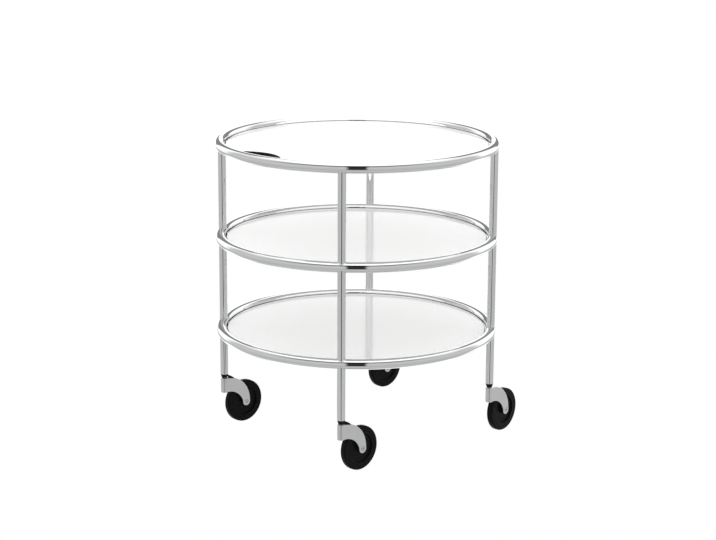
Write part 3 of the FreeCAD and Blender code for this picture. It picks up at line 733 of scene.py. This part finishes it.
dish = (WHEEL_FACE + HUB_DISH, far_face - HUB_DISH)
hub = turn_profile("hub_master", [
    (HUB_BORE / 2, arm_back + FACE_PLAY), (HUB_BOSS / 2, arm_back + FACE_PLAY),
    (HUB_BOSS / 2 + HUB_DRAFT, dish[0]), (hub_radius - HUB_RIM - HUB_DRAFT, dish[0]),
    (hub_radius - HUB_RIM, WHEEL_FACE), (hub_radius, WHEEL_FACE), (hub_radius, far_face),
    (hub_radius - HUB_RIM, far_face), (hub_radius - HUB_RIM - HUB_DRAFT, dish[1]),
    (HUB_BOSS / 2 + HUB_DRAFT, dish[1]), (HUB_BOSS / 2, far_face), (HUB_BORE / 2, far_face),
    (HUB_BORE / 2, arm_back + FACE_PLAY)], 72, (trail, 0, axle_height), lying)
stand_castor_piece(soften(hub, HUB_EDGE, 3), "wheel_core", "hub", "wheel", "wheel_hub", [hub_plastic])


# Treads. A band of hard dark rubber is moulded on to the rim, flush with it at both faces and round at the
# shoulders, with the mould's parting line round the middle.
TREAD_SHOULDER = 0.003
TREAD_EDGE = 0.0003
RIM_ROOM = 0.001

rubber, tree, shader, place = start_material("dark tread rubber", IOR=1.5, Specular_IOR_Level=0.08)
scuff = add_node(tree, "TexNoise", {"Vector": place, "Scale": 150.0, "Detail": 6.0,
                                    "Roughness": 0.7}).outputs["Fac"]
soot = blend_colours(tree, scuff, (0.0022, 0.0022, 0.0022, 1.0), (0.0065, 0.0065, 0.0065, 1.0))
tree.links.new(soot, shader.inputs["Base Color"])
add_marks(tree, shader, place, 100.0, 0.5, 0.75)
add_grain(tree, shader, place, 1500.0, 0.8, 0.00006)

wheel_middle = (trail, WHEEL_FACE + WHEEL_WIDTH / 2, axle_height)
narrow = hub_radius / axle_height
bpy.ops.mesh.primitive_cylinder_add(vertices=128, radius=axle_height, depth=WHEEL_WIDTH, enter_editmode=True,
                                    end_fill_type="NOTHING", location=wheel_middle, rotation=lying)
for rim in (-1, 1):
    pick("EDGE", lambda edge: all(vertex.co.z * rim > WHEEL_WIDTH * 0.49 for vertex in edge.verts)
         and all(vertex.co.xy.length > hub_radius + RIM_ROOM for vertex in edge.verts))
    bpy.ops.mesh.extrude_region_move()
    bpy.ops.transform.resize(value=(narrow, 1, narrow), center_override=wheel_middle)
pick("EDGE", lambda edge: all(vertex.co.xy.length < hub_radius + NEAR for vertex in edge.verts))
bpy.ops.mesh.bridge_edge_loops()
pick("EDGE", lambda edge: all(vertex.co.xy.length > axle_height - NEAR for vertex in edge.verts)
     and abs(edge.verts[0].co.z - edge.verts[1].co.z) < NEAR)
bpy.ops.mesh.bevel(offset=TREAD_SHOULDER, segments=7, affect="EDGES")
tread = soften(end_mesh("tread_master"), TREAD_EDGE, 2, limit=60)
stand_castor_piece(tread, "tread", "tyre", "wheel", "wheel_tread", [rubber])


# Brake levers, on the front and left castors. A rocking lever of black nylon hangs behind the arm: a foot
# presses the wedge on top, and the pad swings towards the tread, which it doesn't reach within the joint's
# range. A skirt hides the gap over the arm.
LEVER_WEB = 0.0046
LEVER_BOSS = 0.009
LEVER_STRUT = 0.0064
LEVER_EDGE = 0.0004
PEDAL_WIDTH = 0.014
PEDAL_HEEL = 0.0086
PEDAL_CREST = 0.0102
PEDAL_TOE = 0.0166
CREST_RISE = 0.0044
TOE_RISE = 0.0011
HEEL_ROOM = 0.0021
TOE_ROOM = 0.0007
SKIRT = 0.0005
SKIRT_PLAY = 0.00015
SKIRT_LAP = 0.0003
GUSSET_FOOT = 0.0015
PAD = Vector((0.009, 0.010, 0.003))
PAD_GAP = 0.0022
PAD_ANGLE = math.radians(40)
PIN_BORE = 0.0031
lever_face = arm_back + FACE_PLAY
pivot = in_castor_frame("brake_press")


def block(low, size):
    """A block in edit mode, with its lowest corner at a point."""
    bpy.ops.mesh.primitive_cube_add(size=1, enter_editmode=True, location=low + size / 2)
    bpy.ops.transform.resize(value=size)
    bpy.ops.mesh.select_all(action="DESELECT")


def slab(name, outline, near, thickness):
    """A flat slab with an outline of (x, z) points, standing from y = near."""
    bpy.ops.mesh.primitive_plane_add(enter_editmode=True)
    bpy.ops.mesh.merge(type="CENTER")
    bpy.ops.transform.translate(value=(outline[0][0], near, outline[0][1]))
    for (x, z), (next_x, next_z) in zip(outline, outline[1:]):
        bpy.ops.mesh.extrude_region_move(TRANSFORM_OT_translate={"value": (next_x - x, 0, next_z - z)})
    bpy.ops.mesh.select_all(action="SELECT")
    bpy.ops.mesh.edge_face_add()
    bpy.ops.mesh.extrude_region_move(TRANSFORM_OT_translate={"value": (0, thickness, 0)})
    return end_mesh(name)


def over_arm(x, rise):
    """A point of the lever's side view, by its height over the arm's top edge."""
    return x, outer.y + math.sqrt(ARM_OUTER ** 2 - (x - outer.x) ** 2) + rise


pad_radius = axle_height + PAD_GAP
pad_place = Vector((trail - pad_radius * math.sin(PAD_ANGLE), 0,
                    axle_height + pad_radius * math.cos(PAD_ANGLE)))
strut_foot = pad_place.z + PAD.z / 2
strut_left = pivot.x - LEVER_STRUT / 2
strut_right = pivot.x + LEVER_STRUT / 2
skirt_face = ARM_FACE - SKIRT_PLAY - SKIRT
gusset_heel = PEDAL_HEEL + LEVER_EDGE
tread_on = [over_arm(PEDAL_CREST, CREST_RISE), over_arm(PEDAL_TOE, TOE_RISE)]
lever = slab("lever_master", [over_arm(PEDAL_HEEL, HEEL_ROOM)] + tread_on + [over_arm(PEDAL_TOE, TOE_ROOM)],
             skirt_face + SKIRT / 2, PEDAL_WIDTH)
skirt = slab("skirt", [over_arm(PEDAL_HEEL, -SKIRT_LAP)] + tread_on + [over_arm(PEDAL_TOE, -SKIRT_LAP)],
             skirt_face, SKIRT)
carve(lever, skirt, "UNION")
web = slab("web", [(strut_left, strut_foot), (strut_right, strut_foot), over_arm(strut_right, -TOE_ROOM),
                   over_arm(PEDAL_TOE, TOE_ROOM), over_arm(PEDAL_CREST, CREST_RISE - LEVER_EDGE),
                   over_arm(gusset_heel, HEEL_ROOM), over_arm(gusset_heel, -GUSSET_FOOT),
                   over_arm(strut_left, -LEVER_STRUT)], lever_face, LEVER_WEB)
carve(lever, web, "UNION")
boss = turn_profile("boss", [(0, 0), (LEVER_BOSS / 2, 0), (LEVER_BOSS / 2, LEVER_WEB), (0, LEVER_WEB)], 40,
                    (pivot.x, lever_face, pivot.z), lying)
carve(lever, soften(boss, LEVER_EDGE, 3), "UNION")
block(Vector((-PAD.x / 2, 0, 0)), PAD)
pad = soften(end_mesh("pad"), LEVER_EDGE, 3)
pad.rotation_euler.y = -PAD_ANGLE
pad.location = pad_place + Vector((0, lever_face, 0))
carve(lever, settle(pad), "UNION")
through = LEVER_WEB + TOOL_OVERLAP
bore = turn_profile("bore_tool", [
    (0, -TOOL_OVERLAP), (PIN_BORE / 2, -TOOL_OVERLAP), (PIN_BORE / 2, through), (0, through)],
    32, (pivot.x, lever_face, pivot.z), lying)
carve(lever, bore)
stand_castor_piece(settle(lever), "foot_lever", "brake_lever", "brake", "black_plastic", [black_nylon],
                   BRAKED)


# Brake pins. A plain rivet pressed into the arm's back, with a domed head beyond the lever.
PIN = 0.003
PIN_BITE = 0.0024
PIN_HEAD = 0.006
PIN_HEAD_HEIGHT = 0.0012
pin_length = PIN_BITE + 2 * FACE_PLAY + LEVER_WEB
pin = turn_profile("pin_master", [
    (0, 0), (PIN / 2, 0), (PIN / 2, pin_length), (PIN_HEAD / 2, pin_length),
    (PIN_HEAD / 2, pin_length + PIN_HEAD_HEIGHT * 0.3), (PIN_HEAD * 0.4, pin_length + PIN_HEAD_HEIGHT * 0.72),
    (PIN_HEAD * 0.22, pin_length + PIN_HEAD_HEIGHT * 0.94), (0, pin_length + PIN_HEAD_HEIGHT)],
    32, (pivot.x, arm_back - PIN_BITE, pivot.z), lying)
stand_castor_piece(pin, "brake_rivet", "brake_pin", "castor", "steel", [zinc], BRAKED)


# Camera. It stands a little to the right of the front leg and looks slightly down, level with the picture.
CAMERA_BEARING = math.radians(5.889)
CAMERA_DISTANCE = 3.3247
CAMERA_HEIGHT = 1.1216
CAMERA_PITCH = math.radians(13.861)
CAMERA_ROLL = 0.0055865
CAMERA_YAW = 0.0007726
CAMERA_LENS = 96.495
CAMERA_SENSOR = 36
CAMERA_REACH = 50
camera = bpy.data.objects.new("camera", bpy.data.cameras.new("camera"))
bpy.context.collection.objects.link(camera)
camera.data.lens = CAMERA_LENS
camera.data.sensor_width = CAMERA_SENSOR
camera.data.clip_end = CAMERA_REACH
stand = Matrix.Translation((CAMERA_DISTANCE * math.sin(CAMERA_BEARING),
                            -CAMERA_DISTANCE * math.cos(CAMERA_BEARING), CAMERA_HEIGHT))
camera.matrix_world = (stand @ Matrix.Rotation(CAMERA_BEARING - CAMERA_YAW, 4, "Z")
                       @ Matrix.Rotation(math.pi / 2 - CAMERA_PITCH, 4, "X")
                       @ Matrix.Rotation(CAMERA_ROLL, 4, "Z"))
bpy.context.scene.camera = camera


# Studio. The camera sees white, and matt surfaces get even soft light. Reflections alone see a drawn room:
# grey at the front with a dark gap and a dark column, and a white back with a grey band and dark patches.
# Bright cards stand over the trays, inside the object's outline. Only reflections see them.
FLOOR_SIZE = 30
EVEN_LIGHT = 1.03
CARD_PLACE = 0.12
CARD_WIDTH = 0.44
CARD_ROOM = 0.03
CARD_HEADROOM = 0.01
CARD_TOP = 1.2
CARD_LIGHTS = {"bottom": 1.4, "middle": 1.4, "top": 1.8}
ROOM_EDGE = (0.38, 0.62)
COLUMN_WIDTH = (0.10, 0.165)
COLUMN_DEPTH = (-0.2, 0.0)
COLUMN_FOOT = (-0.44, -0.50)
COLUMN_TOP = (0.77, 0.83)
COLUMN_DARKNESS = 0.95
FRONT_TONES = [(-1.0, 0.61), (-0.89, 0.76), (-0.64, 0.59), (-0.36, 0.74), (-0.24, 0.65), (0.07, 0.83),
               (0.41, 0.70), (0.50, 0.80), (0.86, 1.70)]
BACK_TONES = [(-0.42, 1.5), (-0.36, 0.66), (-0.17, 0.66), (-0.11, 1.5)]
GAP_FOOT = (0.55, 0.49)
GAP_TOP = (0.76, 0.82)
GAP_DEPTH = (-0.75, 0.35)
GAP_DARKNESS = 0.82
BACK_MIDDLE = (0.20, 0.28)
BACK_WHITE = (1.5, 1.5, 1.5, 1)
PATCH_INSIDE = (0.15, 0.10)
PATCH_OUTSIDE = (0.42, 0.50)
PATCH_FOOT = (0.03, -0.02)
PATCH_TOP = (0.65, 0.75)
PATCH_DEPTH = (0.5, 0.3)
PATCH_DARKNESS = 0.8

bpy.ops.mesh.primitive_plane_add(size=FLOOR_SIZE)
floor = bpy.context.active_object
floor.name = "studio_floor"
floor.visible_glossy = False
paper = bpy.data.materials.new("studio paper")
paper.use_nodes = True
tree = paper.node_tree
matt = tree.nodes["Principled BSDF"]
matt.inputs["Base Color"].default_value = (0.7, 0.7, 0.7, 1)
matt.inputs["Roughness"].default_value = 0.9
matt.inputs["Specular IOR Level"].default_value = 0.1
bright = add_node(tree, "Emission", {"Color": (1, 1, 1, 1), "Strength": 1.0}).outputs[0]
seen = add_node(tree, "LightPath").outputs["Is Camera Ray"]
mixed = add_node(tree, "MixShader", {0: seen, 1: matt.outputs[0], 2: bright}).outputs[0]
tree.links.new(mixed, tree.nodes["Material Output"].inputs["Surface"])
floor.data.materials.append(paper)

for tier, limit in zip(TIERS, [tier_height["middle"], tier_height["top"], CARD_TOP]):
    foot = tier_height[tier] + CARD_ROOM
    head = limit - TRAY_THICKNESS - CARD_HEADROOM
    bpy.ops.mesh.primitive_plane_add(size=1, location=(0, CARD_PLACE, (foot + head) / 2),
                                     rotation=(-math.pi / 2, 0, 0))
    card = bpy.context.active_object
    card.name = "studio_card_" + tier
    card.scale = (CARD_WIDTH, head - foot, 1)
    card.visible_camera = False
    card.visible_diffuse = False
    card.visible_shadow = False
    card.visible_transmission = False
    one_sided = bpy.data.materials.new("one-sided card " + tier)
    one_sided.use_nodes = True
    tree = one_sided.node_tree
    glow = add_node(tree, "Emission", {"Color": (1, 1, 1, 1), "Strength": CARD_LIGHTS[tier]}).outputs[0]
    clear = add_node(tree, "BsdfTransparent").outputs[0]
    behind = add_node(tree, "NewGeometry").outputs["Backfacing"]
    tree.links.new(add_node(tree, "MixShader", {0: behind, 1: glow, 2: clear}).outputs[0],
                   tree.nodes["Material Output"].inputs["Surface"])
    card.data.materials.append(one_sided)

world = bpy.data.worlds.new("studio")
bpy.context.scene.world = world
world.use_nodes = True
tree = world.node_tree


def fade(value, start, end):
    """1 below the start, 0 above the end, and smooth between them; the other way round if start is larger."""
    rising = start > end
    low, high = sorted((start, end))
    ends = {"To Min": 0.0, "To Max": 1.0} if rising else {"To Min": 1.0, "To Max": 0.0}
    return add_node(tree, "MapRange", {"Value": value, "From Min": low, "From Max": high, **ends},
                    interpolation_type="SMOOTHSTEP").outputs["Result"]


def grey_by_height(height, tones):
    """A grey that runs through (height, tone) pairs, from straight down at -1 to straight up at 1."""
    level = add_node(tree, "MapRange", {"Value": height, "From Min": -1.0, "From Max": 1.0}).outputs["Result"]
    ramp = add_node(tree, "ValToRGB", {0: level})
    stops = ramp.color_ramp.elements
    for stop, (place, tone) in zip(list(stops), (tones[0], tones[-1])):
        stop.position = (place + 1) / 2
        stop.color = (tone, tone, tone, 1)
    for place, tone in tones[1:-1]:
        stops.new((place + 1) / 2).color = (tone, tone, tone, 1)
    return ramp.outputs["Color"]


def product(*factors):
    result = factors[0]
    for factor in factors[1:]:
        result = math_node(tree, "MULTIPLY", result, factor)
    return result


direction = add_node(tree, "TexCoord").outputs["Generated"]
aim = add_node(tree, "SeparateXYZ", {0: direction}).outputs
side = (math.cos(CAMERA_BEARING), math.sin(CAMERA_BEARING), 0)
aside = add_node(tree, "VectorMath", {0: direction, 1: side}, operation="DOT_PRODUCT").outputs["Value"]
sideways = math_node(tree, "ABSOLUTE", aside, 0.0)
back = add_node(tree, "Mix", {"Factor": fade(sideways, *BACK_MIDDLE)}, data_type="RGBA")
tree.links.new(grey_by_height(aim["Z"], BACK_TONES), back.inputs[6])
back.inputs[7].default_value = BACK_WHITE
room = add_node(tree, "Mix", {"Factor": fade(aim["Y"], *ROOM_EDGE)}, data_type="RGBA")
tree.links.new(back.outputs[2], room.inputs[6])
tree.links.new(grey_by_height(aim["Z"], FRONT_TONES), room.inputs[7])

column = product(fade(sideways, *COLUMN_WIDTH), fade(aim["Y"], *COLUMN_DEPTH),
                 fade(aim["Z"], *COLUMN_TOP), fade(aim["Z"], *COLUMN_FOOT), COLUMN_DARKNESS)
gap = product(fade(aim["Z"], *GAP_FOOT), fade(aim["Z"], *GAP_TOP), fade(aim["Y"], *GAP_DEPTH), GAP_DARKNESS)
patch = product(fade(sideways, *PATCH_INSIDE), fade(sideways, *PATCH_OUTSIDE), fade(aim["Z"], *PATCH_FOOT),
                fade(aim["Z"], *PATCH_TOP), fade(aim["Y"], *PATCH_DEPTH), PATCH_DARKNESS)
kept = product(*[math_node(tree, "SUBTRACT", 1.0, dark) for dark in (column, gap, patch)])
mirrored = add_node(tree, "VectorMath", {0: room.outputs[2], "Scale": kept}, operation="SCALE").outputs[0]

path = add_node(tree, "LightPath").outputs
lit = add_node(tree, "Mix", {"Factor": path["Is Glossy Ray"]}, data_type="RGBA")
lit.inputs[6].default_value = (EVEN_LIGHT, EVEN_LIGHT, EVEN_LIGHT, 1)
tree.links.new(mirrored, lit.inputs[7])
shown = add_node(tree, "Mix", {"Factor": path["Is Camera Ray"]}, data_type="RGBA")
tree.links.new(lit.outputs[2], shown.inputs[6])
shown.inputs[7].default_value = (1, 1, 1, 1)
tree.links.new(shown.outputs[2], tree.nodes["Background"].inputs["Color"])

bpy.context.scene.view_settings.view_transform = "Standard"
